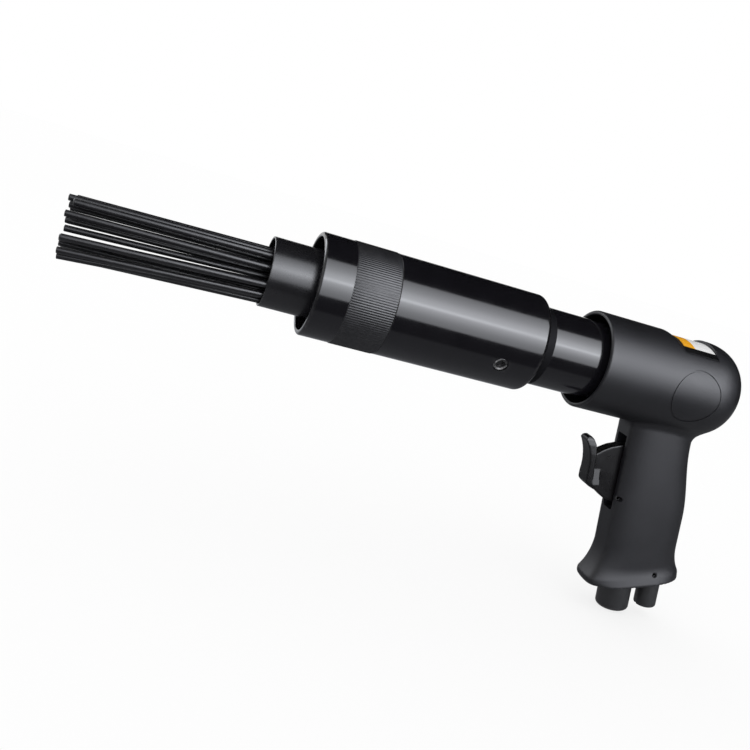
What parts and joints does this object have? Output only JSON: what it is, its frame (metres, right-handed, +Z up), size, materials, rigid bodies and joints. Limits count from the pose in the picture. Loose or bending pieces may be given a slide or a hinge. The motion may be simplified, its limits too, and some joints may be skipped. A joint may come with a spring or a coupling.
{
  "type": "needle scaler",
  "caption": "Air-driven pistol-grip needle scaler: bundle of steel needles in a nose tube, knurled cap, long sleeve, barrel, rounded housing, trigger, air inlet and regulator.",
  "frame": {"origin": "on the tool's axis, halfway along the sleeve between the cap's seam and the sleeve's rear end", "axes": "+X rearwards along the tool's axis, away from the needles; +Y to the right of a person who holds the tool, so that the pictured side is -Y; +Z up, away from the grip"},
  "size_m": [0.3606, 0.0516, 0.1595],
  "materials": {
    "gloss_black": "glossy black coating over turned steel",
    "satin_black": "satin black oxide",
    "housing_grey": "matte charcoal coating over cast aluminium",
    "needle_steel": "blued spring steel, cut ends",
    "steel": "ground steel",
    "spring_steel": "bright spring wire",
    "bronze": "machined bronze",
    "trigger_black": "moulded black plastic",
    "fitting_grey": "dark grey satin plating",
    "seal_rubber": "soft black rubber",
    "label_print": "plain printed film with bare colour blocks"
  },
  "bodies": {
    "housing": {"gun_housing": "housing_grey", "label": "label_print", "trigger_pin": "satin_black", "throttle_bushing": "bronze", "throttle_spring": "spring_steel", "air_inlet": "fitting_grey", "inlet_washer": "bronze", "inlet_screen": "steel", "regulator_pin": "satin_black", "barrel": "gloss_black", "barrel_bush": "bronze", "valve_cover": "steel", "valve_case": "steel", "sleeve": "gloss_black", "set_screw": "satin_black"},
    "nose": {"nose_tube": "satin_black", "needle_spring": "spring_steel"},
    "cap": {"front_cap": "gloss_black"},
    "needle_pack": {"needles": "needle_steel", "needle_holder": "steel"},
    "anvil": {"anvil": "steel"},
    "piston": {"piston": "steel"},
    "valve": {"valve_disc": "steel"},
    "trigger": {"trigger": "trigger_black"},
    "throttle": {"throttle_stem": "steel", "throttle_seal": "seal_rubber"},
    "regulator": {"regulator": "fitting_grey", "regulator_seal": "seal_rubber"}
  },
  "joints": [
    {"name": "trigger_pull", "type": "hinge", "parent": "housing", "child": "trigger", "pos_m": [0.11809, 0, -0.06794], "axis": [0, 1, 0], "range_deg": [0, 8], "stiffness_Nm_per_rad": 1.2, "springref_deg": -5.73},
    {"name": "throttle_push", "type": "slide", "parent": "housing", "child": "throttle", "axis": [0.9833, 0, 0.1822], "range_m": [0, 0.0027], "deforming": ["throttle_spring"]},
    {"name": "regulator_turn", "type": "hinge", "parent": "housing", "child": "regulator", "pos_m": [0.16097, 0, -0.11054], "axis": [0.1822, 0, -0.9833], "range_deg": [0, 170]},
    {"name": "nose_slide", "type": "slide", "parent": "housing", "child": "nose", "axis": [-1, 0, 0], "range_m": [0, 0.003]},
    {"name": "cap_turn", "type": "hinge", "parent": "nose", "child": "cap", "pos_m": [-0.06, 0, 0], "axis": [-1, 0, 0], "range_deg": [0, 720]},
    {"name": "anvil_slide", "type": "slide", "parent": "housing", "child": "anvil", "axis": [-1, 0, 0], "range_m": [0, 0.008], "stiffness_N_per_m": 1500, "springref_m": -0.01},
    {"name": "needle_slide", "type": "slide", "parent": "housing", "child": "needle_pack", "axis": [-1, 0, 0], "range_m": [0, 0.008], "deforming": ["needle_spring"]},
    {"name": "piston_slide", "type": "slide", "parent": "housing", "child": "piston", "axis": [-1, 0, 0], "range_m": [0, 0.052]},
    {"name": "valve_slide", "type": "slide", "parent": "housing", "child": "valve", "axis": [1, 0, 0], "range_m": [0, 0.0012]}
  ],
  "couplings": [
    {"joint": "throttle_push", "follows": "trigger_pull", "m_per_rad": 0.0188},
    {"joint": "nose_slide", "follows": "cap_turn", "m_per_rad": 0.00023873},
    {"joint": "needle_slide", "follows": "anvil_slide", "ratio": 1}
  ]
}
